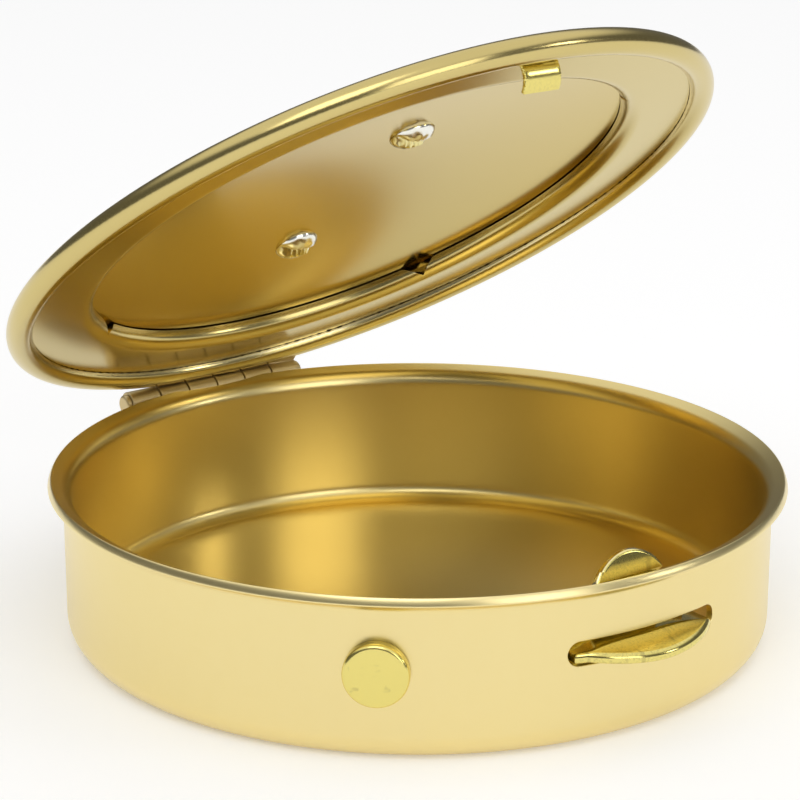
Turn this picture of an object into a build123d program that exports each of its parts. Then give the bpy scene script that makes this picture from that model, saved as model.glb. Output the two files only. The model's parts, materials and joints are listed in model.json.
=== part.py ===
from build123d import *
import math
import os

# Driving dimensions in millimetres and degrees.
# The origin is the middle of the pan's underside: Z up, hinge at +Y, latch at -Y.
wall_diameter = 50.0       # outside of the pan's upright wall
pan_height = 11.5          # table to the top of the lip
pan_sheet = 0.6            # thickness of the drawn sheet
corner_radius = 1.8        # outside bend between floor and wall
lip_reach = 1.0            # overhang of the lip past the wall
lip_angle = 66.0           # turn of the lip away from upright
lip_bend = 0.6             # outside bend between wall and lip

lid_overhang = 0.56        # lid rim past the lip
bead_radius = 0.9          # rolled rim of the lid
lid_sheet = 0.5
band_width = 4.6           # flat band between the rolled rim and the collar bend
bend_radius = 1.05         # underside bend from band to collar
collar_rise = 1.25         # top of the collar above the band's underside
notch_width = 2.6
notch_depth = 1.0
open_angle = 36.8          # how far the lid stands open at rest

dome_rise = 1.55           # rise of the medallion plate's middle
plate_sheet = 0.5
collar_pocket = 0.6        # space between the collar and the plate's skirt
skirt_round = 0.6
cross_height = 26.0
cross_width = 17.0
cross_beam = 5.2
cross_raise = 2.6          # crossing above the middle of the upright
cross_sheet = 0.9
cross_taper = 25.0
stud_spacing = 17.4        # between the two emblem rivets
stud_radius = 0.75
stud_head_radius = 1.2
stud_head_height = 0.45
tail_radius = 1.65         # rivet tail where it leaves the plate
tail_spread = 1.2          # the same tail at its end, which the chisel splits
tail_height = 0.75
split_width = 1.1          # chisel split across the end of the tail
split_depth = 0.5

hinge_setback = 0.35       # hinge axis behind the lip's edge
hinge_drop = 1.5           # hinge axis below the middle of the rolled rim
hinge_length = 15.6
knuckle_count = 6
barrel_radius = 0.95
pin_radius = 0.5
pin_head_radius = 0.75
pin_head_height = 0.35
leaf_height = 3.4          # base hinge leaf on the wall
leaf_drop = 6.3            # foot of that leaf below the lip
leaf_thickness = 0.48

latch_height = 6.2         # middle of the spring and its rivet above the table
spring_sheet = 0.45
spring_width = 3.6
latch_turn = -1.2          # latch set a little round from straight opposite the hinge
rivet_angle = -132.4
rivet_head_radius = 2.15
rivet_head_height = 0.9
rivet_head_round = 0.3
rivet_radius = 1.0
rivet_tail_radius = 1.55
rivet_tail_height = 0.6
foot_reach = 9.4           # degrees of wall covered behind the rivet
bend_lead = 8.0            # degrees from the rivet to the spring's bend
plate_half = 5.2           # half length of the flat latch plate
plate_inset = 1.9          # latch plate's outer face inside the pan's wall
tab_proud = 1.95           # push tab past the outside of the wall
tab_radius = 8.05
tab_thickness = 0.7
tab_lift = 0.6             # middle of the tab above the middle of the spring
tab_slope = 20.0           # fall of the tab outside the wall
slot_length = 12.3
slot_height = 1.65
slot_lift = 0.4            # middle of the slot above the middle of the spring
tongue_width = 5.8
tongue_top = 0.4           # tongue above the lip
ridge_drop = 0.95          # ridge below the tongue's top
ridge_reach = 0.45         # ridge proud of the latch plate
ridge_step = 0.14          # undercut below the ridge, which holds the catch
tongue_lean = 16.5         # backward lean of the tongue
tongue_foot = 0.65         # foot of the leaning part below the ridge
push_angle = 4.5           # turn of the latch when the tab is pushed in

catch_width = 3.0
catch_radius = 1.71        # outside of the curl
catch_drop = 0.29          # middle of the curl below the band
catch_turn = 65.0          # turn of the curl past its back, to its free end
catch_sheet = 0.3
catch_inset = 0.43         # back of the curl inside the pan's wall

# Clearances
lid_seat_gap = 0.06        # rolled rim above the lip when closed
barrel_gap = 0.10          # knuckles to the sheet cut away round them
knuckle_gap = 0.10         # between neighbouring knuckles
pin_gap = 0.03             # running fit of the pin
solder_gap = 0.02          # pieces joined by solder or rivets
spring_gap = 0.06          # latch spring to the wall
slot_end_gap = 0.09        # push tab's sides to the rounded ends of its slot
bend_gap = 0.10            # split between the spring's fixed and moving ends
curl_gap = 0.20            # open seam of the rolled rim

# Derived sizes
wall_radius = wall_diameter / 2
wall_inside = wall_radius - pan_sheet
lip_turn = math.radians(lip_angle)
lip_flat = (lip_reach - lip_bend * (1 - math.cos(lip_turn))) / math.sin(lip_turn)
lip_rise = (lip_bend + pan_sheet) * math.sin(lip_turn) + lip_flat * math.cos(lip_turn)
lip_z = pan_height - lip_rise
lip_radius = wall_radius + lip_reach

lid_radius = lip_radius + lid_overhang
bead_ring = lid_radius - bead_radius
bend_ring = bead_ring - band_width
collar_outside = bend_ring - bend_radius + lid_sheet
lid_z = pan_height + bead_radius + lid_seat_gap

skirt_inside = collar_outside + collar_pocket
skirt_outside = skirt_inside + plate_sheet
dome_radius = (collar_outside ** 2 + dome_rise ** 2) / (2 * dome_rise)
dome_z = lid_z + collar_rise + solder_gap + dome_rise - dome_radius

hinge_y = lip_radius + hinge_setback
hinge_z = lid_z - hinge_drop
knuckle_pitch = hinge_length / knuckle_count
knuckle_width = knuckle_pitch - knuckle_gap

spring_ring = wall_inside - spring_gap - spring_sheet / 2
spring_base = latch_height - spring_width / 2
bend_angle = rivet_angle + bend_lead
bend_x = spring_ring * math.cos(math.radians(bend_angle))
bend_y = spring_ring * math.sin(math.radians(bend_angle))
plate_face = -(wall_inside - plate_inset)
plate_y = plate_face + spring_sheet / 2
sweep_x = -plate_half - bend_x
sweep_y = bend_y - plate_y
sweep_radius = (sweep_x ** 2 + sweep_y ** 2) / (2 * sweep_y)
sweep_centre = (-plate_half, plate_y + sweep_radius)

slot_round = slot_height / 2
tab_drop = abs(slot_lift - tab_lift) + tab_thickness / 2
tab_reach = slot_length / 2 - slot_round + math.sqrt(max(slot_round ** 2 - tab_drop ** 2, 0)) - slot_end_gap
tab_swing = (wall_radius + bend_y) * math.sin(math.radians(push_angle))


def turned(edges):
    """Solid of revolution about Z from the edges of a half-section."""
    return revolve(Plane.XZ * make_face(edges), Axis.Z)


def outline(plane, *points):
    """Flat polygon in a plane."""
    return plane * make_face(Polyline(*points, close=True))


def block(x, y, z):
    """Box between two limits on each axis."""
    size = Box(x[1] - x[0], y[1] - y[0], z[1] - z[0])
    return Pos(sum(x) / 2, sum(y) / 2, sum(z) / 2) * size


def rod(x_start, length, radius):
    """Cylinder on the hinge axis."""
    return Pos(x_start + length / 2, hinge_y, hinge_z) * Rot(0, 90, 0) * Cylinder(radius, length)


def radial(angle, distance, height):
    """Place whose Z axis points straight out from the pan's middle."""
    return Rot(0, 0, angle) * Pos(distance, 0, height) * Rot(0, 90, 0)


def opened(piece):
    """Turn a piece of the closed lid to the angle at which it rests."""
    return piece.rotate(Axis((0, hinge_y, hinge_z), (-1, 0, 0)), open_angle)


def aligned(piece):
    """Turn a piece of the latch round to where the latch sits."""
    return Rot(0, 0, latch_turn) * piece


def knuckle_start(index):
    """Left end of a knuckle, counted from -X."""
    return -hinge_length / 2 + index * knuckle_pitch + knuckle_gap / 2


def hinge_relief():
    """Room cut from the lip and from the rolled rim for the knuckles."""
    length = hinge_length + 2 * knuckle_gap
    return rod(-length / 2, length, barrel_radius + barrel_gap)


def pan_face(depth):
    """Half-section of one face of the pan's sheet, at a depth from the outside."""
    corner = (wall_radius - corner_radius, corner_radius)
    bend = CenterArc(corner, corner_radius - depth, -90, 90)
    turn = CenterArc((wall_radius + lip_bend, lip_z), lip_bend + depth, 180, -lip_angle)
    floor = Line((0, depth), bend @ 0)
    wall = Line(bend @ 1, turn @ 0)
    start = turn @ 1
    end = (start.X + lip_flat * math.sin(lip_turn), start.Y + lip_flat * math.cos(lip_turn))
    return [floor, bend, wall, turn, Line(start, end)]


def base_pan():
    """Drawn pan with a flared lip, tab slot, rivet hole and hinge relief."""
    outer = pan_face(0)
    inner = pan_face(pan_sheet)
    edge = Line(outer[-1] @ 1, inner[-1] @ 1)
    middle = Line(outer[0] @ 0, inner[0] @ 0)
    pan = turned(outer + inner + [edge, middle])
    slot = extrude(SlotOverall(slot_length, slot_height), wall_radius / 4, both=True)
    slot = Pos(0, -wall_radius, latch_height + slot_lift) * Rot(90, 0, 0) * slot
    hole = Cylinder(rivet_radius + solder_gap, 4 * pan_sheet)
    hole = radial(rivet_angle, wall_radius, latch_height) * hole
    pan -= aligned(slot + hole)
    return pan - hinge_relief()


def pan_envelope():
    """Everything inside the pan's outer face and straight above it, grown by the solder gap."""
    outer = pan_face(-solder_gap)
    rim = outer[-1] @ 1
    above = Polyline(rim, (rim.X, 2 * pan_height), (0, 2 * pan_height), outer[0] @ 0)
    return turned(outer + above.edges())


def base_hinge():
    """Leaf on the wall with every other knuckle standing on a short neck."""
    foot_z = pan_height - leaf_drop
    inside = wall_radius + solder_gap
    span = (knuckle_start(0), knuckle_start(knuckle_count - 2) + knuckle_width)
    strap = Cylinder(inside + leaf_thickness, leaf_height) - Cylinder(inside, 2 * leaf_height)
    strap = Pos(0, 0, foot_z + leaf_height / 2) * strap
    leaf = strap & block(span, (0, 2 * wall_radius), (0, 2 * pan_height))
    neck_foot = foot_z + 0.7 * leaf_height
    lean = 0.6 * barrel_radius
    neck = outline(
        Plane.YZ,
        (wall_inside, neck_foot),
        (inside + leaf_thickness, neck_foot),
        (hinge_y + lean, hinge_z - lean),
        (hinge_y, hinge_z),
        (wall_inside, hinge_z),
    )
    envelope = pan_envelope()
    for index in range(0, knuckle_count, 2):
        start = knuckle_start(index)
        leaf += Pos(start, 0, 0) * extrude(neck, knuckle_width) - envelope
        leaf += rod(start, knuckle_width, barrel_radius)
    return leaf - rod(-hinge_length, 2 * hinge_length, pin_radius + pin_gap)


def lid_hinge():
    """Knuckles between those of the base, each with a heel on the rolled rim."""
    rim = Pos(0, 0, lid_z) * Torus(bead_ring, bead_radius + solder_gap)
    heel_z = (lid_z - 0.8 * bead_radius, lid_z + 0.4 * bead_radius)
    group = Part()
    for index in range(1, knuckle_count, 2):
        start = knuckle_start(index)
        middle = start + knuckle_width / 2
        heel_y = (math.sqrt(bead_ring ** 2 - middle ** 2), hinge_y + 0.4 * barrel_radius)
        heel = block((start, start + knuckle_width), heel_y, heel_z) - rim
        group += heel + rod(start, knuckle_width, barrel_radius)
    return opened(group - rod(-hinge_length, 2 * hinge_length, pin_radius + pin_gap))


def hinge_pin():
    """Pin through the knuckles, with a low head at each end."""
    half = hinge_length / 2
    pin = rod(-half, hinge_length, pin_radius)
    pin += rod(-half - pin_head_height, pin_head_height, pin_head_radius)
    pin += rod(half, pin_head_height, pin_head_radius)
    ends = pin.edges().filter_by(GeomType.CIRCLE).sort_by(Axis.X)
    return fillet([ends[0], ends[-1]], 0.6 * pin_head_height)


def ring_section():
    """Half-section of the rolled rim, flat band and upturned collar."""
    hollow = bead_radius - lid_sheet
    curl = Circle(bead_radius) - Circle(hollow)
    curl -= Pos(-bead_radius / 2, -curl_gap / 2) * Rectangle(bead_radius, curl_gap)
    middle = (bend_ring, bend_radius)
    under = CenterArc(middle, bend_radius, 180, 90)
    over = CenterArc(middle, bend_radius - lid_sheet, 180, 90)
    band_end = bead_ring - hollow - lid_sheet / 8
    path = Polyline(
        under @ 1,
        (band_end, 0),
        (band_end, lid_sheet),
        over @ 1,
    )
    rise = Polyline(
        under @ 0,
        ((under @ 0).X, collar_rise),
        ((over @ 0).X, collar_rise),
        over @ 0,
    )
    return Pos(bead_ring, 0) * curl + make_face([under, over] + path.edges() + rise.edges())


def lid_ring():
    """Lid ring: rolled rim, band and collar with four notches in its edge."""
    ring = revolve(Plane.XZ * ring_section(), Axis.Z)
    notch = outline(
        Plane.YZ,
        (-notch_width / 2, collar_rise),
        (-notch_width / 2, 2 * collar_rise),
        (notch_width / 2, 2 * collar_rise),
        (notch_width / 2, collar_rise),
        (0, collar_rise - notch_depth),
    )
    notch = Pos(collar_outside - 3 * lid_sheet, 0, 0) * extrude(notch, 3.6 * lid_sheet)
    for angle in (45, 135, 225, 315):
        ring -= Rot(0, 0, angle) * notch
    return opened(Pos(0, 0, lid_z) * ring - hinge_relief())


def on_dome(along):
    """Place at the dome's centre, turned so that Z meets the plate at a distance along Y."""
    return Pos(0, 0, dome_z) * Rot(-math.degrees(math.asin(along / dome_radius)), 0, 0)


def stud_holes():
    """Both rivet holes through the medallion plate and the emblem."""
    hole = Pos(0, 0, dome_radius) * Cylinder(stud_radius + solder_gap, 8 * cross_sheet)
    return on_dome(stud_spacing / 2) * hole + on_dome(-stud_spacing / 2) * hole


def medallion_plate():
    """Domed plate whose skirt stands on the band, round the collar."""
    rise = dome_z
    under = CenterArc((0, rise), dome_radius, 90, -math.degrees(math.asin(skirt_inside / dome_radius)))
    crown = dome_radius + plate_sheet
    over = CenterArc((0, rise), crown, 90, -math.degrees(math.asin(skirt_outside / crown)))
    foot_z = lid_z + lid_sheet + solder_gap
    path = Polyline(
        under @ 1,
        (skirt_inside, foot_z),
        (skirt_outside, foot_z),
        over @ 1,
    )
    section = make_face([under, over, Line(under @ 0, over @ 0)] + path.edges())
    shoulder = section.vertices().sort_by(lambda v: v.X + v.Y)[-1]
    section = fillet(shoulder, skirt_round)
    return opened(revolve(Plane.XZ * section, Axis.Z) - stud_holes())


def emblem():
    """Plain cross with sloping sides, curved to sit on the plate."""
    under = dome_radius + plate_sheet + solder_gap
    shape = Rectangle(cross_beam, cross_height)
    shape += Pos(0, cross_raise) * Rectangle(cross_width, cross_beam)
    low = dome_z + under - cross_height ** 2 / (4 * under)
    cross = Pos(0, 0, low) * extrude(shape, 3 * cross_sheet, taper=cross_taper)
    cross &= Pos(0, 0, dome_z) * Sphere(under + cross_sheet)
    cross -= Pos(0, 0, dome_z) * Sphere(under)
    return opened(cross - stud_holes())


def stud():
    """Rivet on Z from the dome's centre, its tail spread under the plate and split along X."""
    inside = dome_radius - solder_gap
    outside = dome_radius + plate_sheet + cross_sheet + 2 * solder_gap
    end = inside - tail_height
    shank = Pos(0, 0, (inside + outside) / 2) * Cylinder(stud_radius, outside - inside)
    dome = (stud_head_radius ** 2 + stud_head_height ** 2) / (2 * stud_head_height)
    cap = Pos(0, 0, stud_head_height - dome) * Sphere(dome)
    cap &= Pos(0, 0, stud_head_height / 2) * Cylinder(stud_head_radius, stud_head_height)
    tail = Pos(0, 0, (inside + end) / 2) * Cone(tail_spread, tail_radius, tail_height)
    half = split_width / 2
    split = outline(Plane.YZ, (-half, end), (half, end), (0, end + split_depth))
    tail -= extrude(split, 2 * tail_spread, both=True)
    return shank + Pos(0, 0, outside) * cap + tail


def emblem_rivets():
    """Two rivets that hold the emblem to the plate."""
    rivet = stud()
    pair = on_dome(stud_spacing / 2) * rivet + on_dome(-stud_spacing / 2) * rivet
    return opened(pair)


def lid_catch():
    """Strip that curls down from the band and in towards the hinge."""
    far = 2 * catch_radius
    free = math.radians(180 + catch_turn)
    strip = Circle(catch_radius) - Circle(catch_radius - catch_sheet)
    strip &= make_face(Polyline(
        (0, 0),
        (0, catch_drop),
        (-far, catch_drop),
        (-far, -far),
        (far * math.cos(free), far * math.sin(free)),
        close=True,
    ))
    curl_y = -(wall_inside - catch_inset - catch_radius)
    curl_z = lid_z - solder_gap - catch_drop
    strip = extrude(Plane.YZ * Pos(curl_y, curl_z) * strip, catch_width / 2, both=True)
    return opened(aligned(strip))


def latch_foot():
    """Fixed end of the latch spring, flat against the wall."""
    outside = spring_ring + spring_sheet / 2
    strip = CenterArc((0, 0), outside, rivet_angle - foot_reach, foot_reach + bend_lead)
    back = CenterArc((0, 0), outside - spring_sheet, rivet_angle - foot_reach, foot_reach + bend_lead)
    ends = [Line(strip @ 0, back @ 0), Line(strip @ 1, back @ 1)]
    foot = extrude(make_face([strip, back] + ends), spring_width)
    hole = Cylinder(rivet_radius + solder_gap, 4 * spring_sheet)
    hole = radial(rivet_angle, spring_ring, latch_height) * hole
    return aligned(Pos(0, 0, spring_base) * foot - hole)


def tongue():
    """Tongue above the latch plate: it leans back, has a step under its ridge and a rounded top."""
    top = pan_height + tongue_top
    ridge = top - ridge_drop
    ridge_y = plate_face - ridge_reach
    lean = math.tan(math.radians(tongue_lean))
    ledge = ridge - ridge_step / 3
    low = ridge - tongue_foot
    low_y = ridge_y + ridge_step - (ledge - low) * lean
    knee = low - spring_sheet
    hook = outline(
        Plane.YZ,
        (plate_face, latch_height),
        (plate_face, knee),
        (low_y, low),
        (ridge_y + ridge_step, ledge),
        (ridge_y, ridge),
        (ridge_y + ridge_drop * lean, top),
        (ridge_y + ridge_drop * lean + spring_sheet, top),
        (low_y + 1.2 * spring_sheet, low),
        (plate_face + spring_sheet, knee - spring_sheet / 2),
        (plate_face + spring_sheet, latch_height),
    )
    foot = latch_height
    half = tongue_width / 2
    shoulder = top - 0.6 * half
    crown = ThreePointArc((-half, shoulder), (0, top), (half, shoulder))
    sides = Polyline((half, shoulder), (half, foot), (-half, foot), (-half, shoulder))
    front = extrude(Plane.XZ * make_face([crown] + sides.edges()), 2 * wall_radius)
    return extrude(hook, half, both=True) & front


def push_tab():
    """Tab through the slot, level inside the wall and sloping down outside it to a round edge."""
    top = latch_height + tab_lift + tab_thickness / 2
    tip = -(wall_radius + tab_proud)
    fall = tab_proud * math.tan(math.radians(tab_slope))
    section = outline(
        Plane.YZ,
        (plate_y, top),
        (-wall_radius, top),
        (tip, top - fall),
        (tip, top - fall - tab_thickness),
        (-wall_radius, top - tab_thickness),
        (plate_y, top - tab_thickness),
    )
    tab = Pos(-tab_reach, 0, 0) * extrude(section, 2 * tab_reach - tab_swing)
    edge = Pos(0, tip + tab_radius, top) * Cylinder(tab_radius, 4 * (fall + tab_thickness))
    return tab & edge


def latch_arm():
    """Moving end of the latch spring: swept leaf, latch plate, push tab and tongue."""
    start = math.degrees(math.atan2(bend_y - sweep_centre[1], bend_x - sweep_centre[0]))
    start += math.degrees(bend_gap / sweep_radius)
    end = math.degrees(math.atan2(plate_y - sweep_centre[1], -plate_half - sweep_centre[0]))
    near = CenterArc(sweep_centre, sweep_radius + spring_sheet / 2, start, end - start)
    far = CenterArc(sweep_centre, sweep_radius - spring_sheet / 2, start, end - start)
    ends = [Line(near @ 0, far @ 0), Line(near @ 1, far @ 1)]
    leaf = make_face([near, far] + ends)
    leaf += Pos(0, plate_y) * Rectangle(2 * plate_half, spring_sheet)
    arm = Pos(0, 0, spring_base) * extrude(leaf, spring_width)
    return aligned(arm + push_tab() + tongue())


def latch_rivet():
    """Rivet through wall and spring: flat round head outside, low tail inside."""
    seat = wall_radius + solder_gap
    inside = math.sqrt((spring_ring - spring_sheet / 2) ** 2 - rivet_tail_radius ** 2) - solder_gap
    head = Pos(0, 0, rivet_head_height / 2) * Cylinder(rivet_head_radius, rivet_head_height)
    head = fillet(head.edges().sort_by(Axis.Z)[-1], rivet_head_round)
    tail = Pos(0, 0, -rivet_tail_height / 2) * Cylinder(rivet_tail_radius, rivet_tail_height)
    tail = fillet(tail.edges().sort_by(Axis.Z)[0], 0.5 * rivet_tail_height)
    length = seat - inside
    shank = Pos(0, 0, -length / 2) * Cylinder(rivet_radius, length)
    rivet = head + shank + Pos(0, 0, -length) * tail
    return aligned(radial(rivet_angle, seat, latch_height) * rivet)


pieces = {
    "base_pan": base_pan(),
    "base_hinge": base_hinge(),
    "hinge_pin": hinge_pin(),
    "lid_hinge": lid_hinge(),
    "lid_ring": lid_ring(),
    "medallion_plate": medallion_plate(),
    "emblem": emblem(),
    "emblem_rivets": emblem_rivets(),
    "lid_catch": lid_catch(),
    "latch_foot": latch_foot(),
    "latch_arm": latch_arm(),
    "latch_rivet": latch_rivet(),
}

os.makedirs("parts", exist_ok=True)
for name, piece in pieces.items():
    export_step(piece, f"parts/{name}.step")
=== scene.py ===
"""Pyx: a small round gilt box with a hinged lid, a push latch and a riveted emblem."""

import json
import math

import bmesh
import bpy
import numpy as np
from bpy.props import FloatProperty, FloatVectorProperty, PointerProperty
from mathutils import Matrix, Vector


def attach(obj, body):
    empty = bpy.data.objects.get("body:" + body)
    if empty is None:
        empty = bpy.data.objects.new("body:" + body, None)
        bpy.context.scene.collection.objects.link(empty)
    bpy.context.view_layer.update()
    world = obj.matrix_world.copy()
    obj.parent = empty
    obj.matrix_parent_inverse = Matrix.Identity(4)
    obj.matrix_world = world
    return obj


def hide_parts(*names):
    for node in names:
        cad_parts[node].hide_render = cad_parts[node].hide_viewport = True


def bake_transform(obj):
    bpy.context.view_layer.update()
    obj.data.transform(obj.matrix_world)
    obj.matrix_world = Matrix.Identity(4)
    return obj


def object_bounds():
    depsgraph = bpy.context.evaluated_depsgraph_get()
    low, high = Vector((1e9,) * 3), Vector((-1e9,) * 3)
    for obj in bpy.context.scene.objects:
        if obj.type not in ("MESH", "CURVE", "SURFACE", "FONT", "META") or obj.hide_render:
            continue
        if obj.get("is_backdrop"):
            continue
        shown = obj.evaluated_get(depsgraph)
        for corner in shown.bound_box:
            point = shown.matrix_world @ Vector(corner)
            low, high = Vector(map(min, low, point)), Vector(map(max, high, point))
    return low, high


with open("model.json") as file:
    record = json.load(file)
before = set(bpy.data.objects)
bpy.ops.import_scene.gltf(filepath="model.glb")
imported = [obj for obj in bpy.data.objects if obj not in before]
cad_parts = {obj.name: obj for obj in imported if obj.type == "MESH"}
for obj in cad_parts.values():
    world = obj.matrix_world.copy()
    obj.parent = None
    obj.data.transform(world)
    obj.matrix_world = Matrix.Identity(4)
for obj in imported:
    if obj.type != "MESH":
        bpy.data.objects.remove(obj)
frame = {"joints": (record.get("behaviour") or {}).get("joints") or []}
cad_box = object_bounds()

bl_info = {
    "name": "Pyx",
    "version": (1, 0, 0),
    "blender": (4, 5, 0),
    "location": "3D View > Sidebar > Pyx",
    "description": "Builds the visible pieces of a round hinged pyx around its packed solids",
    "category": "Object",
}

MM = 0.001
MERGE = 2e-8
JOINTS = {joint["name"]: joint for joint in frame["joints"]}
HINGE = np.array(JOINTS["lid_hinge"]["pos_m"])
OPEN = -math.radians(JOINTS["lid_hinge"]["range_deg"][0])
BEND = np.array(JOINTS["push_tab"]["pos_m"])
SEAT = 0.02 * MM  # left between fixed pieces that touch
RELIEF = 1.05 * MM  # radius kept free of pan and lid round the hinge axis
RELIEF_HALF = 7.9 * MM  # half length of that relief
UP = (0.0, 0.0, 1.0)


def length(name, description, millimetres):
    return FloatProperty(
        name=name, description=description, default=millimetres * MM, unit="LENGTH", precision=5
    )


def angled(name, description, degrees):
    return FloatProperty(name=name, description=description, default=math.radians(degrees), subtype="ANGLE")


def factor(name, description, default):
    return FloatProperty(name=name, description=description, default=default, min=0, max=1, subtype="FACTOR")


def colour(name, description, default):
    return FloatVectorProperty(
        name=name, description=description, default=default, size=3, min=0, max=1, subtype="COLOR"
    )


def vector(name, description, kind, default):
    return FloatVectorProperty(
        name=name, description=description, default=default, size=3, precision=6, subtype=kind
    )


def wattage(name, description, watts):
    return FloatProperty(name=name, description=description, default=watts, unit="POWER")


class PanSizes(bpy.types.PropertyGroup):
    """Sizes of the drawn pan."""

    wall_radius: length("Wall radius", "Outside of the upright wall", 25.0)
    sheet: length("Sheet", "Thickness of the drawn sheet", 0.6)
    height: length("Height", "Table to the top of the lip", 11.5)
    corner_radius: length("Corner", "Outside bend between floor and wall", 1.8)
    lip_reach: length("Lip reach", "Overhang of the lip past the wall", 1.0)
    lip_angle: angled("Lip angle", "Turn of the lip away from upright", 66.0)
    lip_bend: length("Lip bend", "Outside bend between wall and lip", 0.6)
    slot_length: length("Slot length", "Length of the push tab's slot", 12.3)
    slot_height: length("Slot height", "Height of the push tab's slot", 1.65)
    slot_z: length("Slot middle", "Middle of the slot above the table", 6.6)
    slot_round: length("Slot edge", "Rounding of the slot's edges", 0.07)


class LidSizes(bpy.types.PropertyGroup):
    """Sizes of the closed lid."""

    level: length("Level", "Middle of the rolled rim above the table", 12.46)
    radius: length("Radius", "Outside of the rolled rim", 26.56)
    bead_radius: length("Rim roll", "Radius of the rolled rim", 0.9)
    sheet: length("Sheet", "Thickness of the ring's sheet", 0.5)
    band_width: length("Band", "Flat band between rolled rim and collar bend", 4.6)
    bend_radius: length("Bend", "Underside bend from band to collar", 1.05)
    collar_rise: length("Collar", "Top of the collar above the band's underside", 1.25)
    notch_width: length("Notch width", "Width of a collar notch at its top", 2.6)
    notch_depth: length("Notch depth", "Depth of a collar notch", 1.0)
    dome_rise: length("Dome rise", "Rise of the medallion plate's middle", 1.55)
    plate_sheet: length("Plate sheet", "Thickness of the medallion plate", 0.5)
    pocket: length("Pocket", "Space between collar and the plate's skirt", 0.6)
    shoulder: length("Shoulder", "Rounding of the plate's outer edge", 0.6)


class EmblemSizes(bpy.types.PropertyGroup):
    """Sizes of the cross and of the rivets that hold it."""

    height: length("Height", "Upright of the cross", 26.0)
    width: length("Width", "Arms of the cross", 17.0)
    beam: length("Beam", "Width of upright and arms", 5.2)
    raised: length("Crossing", "Crossing above the middle of the upright", 2.6)
    sheet: length("Thickness", "Thickness of the cross", 0.9)
    taper: angled("Taper", "Slope of the sides", 25.0)
    stud_spacing: length("Rivet spacing", "Between the two rivets", 17.4)
    head_radius: length("Rivet head", "Radius of a rivet head", 1.2)
    head_height: length("Head height", "Rise of a rivet head", 0.45)
    tail_root: length("Tail root", "Radius of a rivet tail at the plate", 1.65)
    tail_spread: length("Tail end", "Radius of a rivet tail at its end", 1.2)
    tail_height: length("Tail height", "Length of a rivet tail", 0.75)
    split_width: length("Split width", "Width of the chisel split", 1.1)
    split_depth: length("Split depth", "Depth of the chisel split", 0.5)


class LatchSizes(bpy.types.PropertyGroup):
    """Sizes of the latch, its rivet and the catch on the lid."""

    shift: angled("Latch turn", "Latch set round from straight opposite the hinge", -1.2)
    height: length("Height", "Middle of the spring above the table", 6.2)
    sheet: length("Sheet", "Thickness of the spring", 0.45)
    width: length("Width", "Width of the spring", 3.6)
    ring: length("Spring ring", "Middle of the spring's fixed end from the pan's axis", 24.115)
    rivet_angle: angled("Rivet angle", "Place of the rivet round the wall", -132.4)
    foot_reach: angled("Foot reach", "Wall covered behind the rivet", 9.4)
    bend_lead: angled("Bend lead", "From the rivet to the spring's bend", 8.0)
    plate_half: length("Plate half", "Half length of the flat latch plate", 5.2)
    plate_face: length("Plate face", "Outer face of the latch plate from the pan's axis", 22.5)
    head_radius: length("Rivet head", "Radius of the rivet's head", 2.15)
    head_height: length("Head height", "Rise of the rivet's head", 0.9)
    head_round: length("Head edge", "Rounding of the head's edge", 0.3)
    tail_radius: length("Rivet tail", "Radius of the rivet's tail", 1.55)
    tail_height: length("Tail height", "Rise of the rivet's tail", 0.6)
    tab_proud: length("Tab reach", "Push tab past the outside of the wall", 1.95)
    tab_radius: length("Tab radius", "Radius of the push tab's edge", 8.05)
    tab_left: length("Tab left", "Left side of the push tab from its middle", 5.80)
    tab_right: length("Tab right", "Right side of the push tab from its middle", 5.40)
    tab_sheet: length("Tab thickness", "Thickness of the push tab", 0.7)
    tab_lift: length("Tab lift", "Middle of the tab above the middle of the spring", 0.6)
    tab_droop: length("Tab droop", "Fall of the tab's ends below its middle", 0.5)
    tab_slope: angled("Tab slope", "Fall of the tab outside the wall", 20.0)
    tongue_width: length("Tongue width", "Width of the tongue", 5.8)
    tongue_top: length("Tongue top", "Top of the tongue above the table", 11.9)
    tongue_soft: length("Tongue edge", "Rounding of the tongue's edge", 0.17)
    ridge_drop: length("Ridge", "Ridge below the tongue's top", 0.95)
    ridge_reach: length("Ridge reach", "Ridge proud of the latch plate", 0.45)
    ridge_step: length("Ridge step", "Undercut below the ridge", 0.14)
    tongue_lean: angled("Lean", "Backward lean of the tongue", 16.5)
    tongue_foot: length("Tongue foot", "Foot of the leaning part below the ridge", 0.65)
    catch_width: length("Catch width", "Width of the catch", 3.0)
    catch_radius: length("Catch curl", "Outside radius of the catch's curl", 1.71)
    catch_drop: length("Catch drop", "Middle of the curl below the band", 0.29)
    catch_turn: angled("Catch turn", "Turn of the curl past its back, to its free end", 65.0)
    catch_sheet: length("Catch sheet", "Thickness of the catch", 0.3)
    catch_back: length("Catch place", "Back of the catch from the lid's axis", 23.97)


class HingeSizes(bpy.types.PropertyGroup):
    """Sizes of the hinge."""

    length: length("Length", "Length of the hinge", 15.6)
    barrel_radius: length("Barrel", "Radius of a knuckle", 0.95)
    gap: length("Gap", "Between neighbouring knuckles", 0.1)
    pin_radius: length("Pin", "Radius of the pin", 0.5)
    pin_head: length("Pin head", "Radius of the pin's heads", 0.75)
    pin_end: length("Pin end", "Height of the pin's heads", 0.35)
    leaf_foot: length("Leaf foot", "Foot of the base leaf above the table", 5.2)
    leaf_height: length("Leaf height", "Height of the base leaf", 3.4)
    leaf_sheet: length("Leaf sheet", "Thickness of the base leaf", 0.48)


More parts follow.
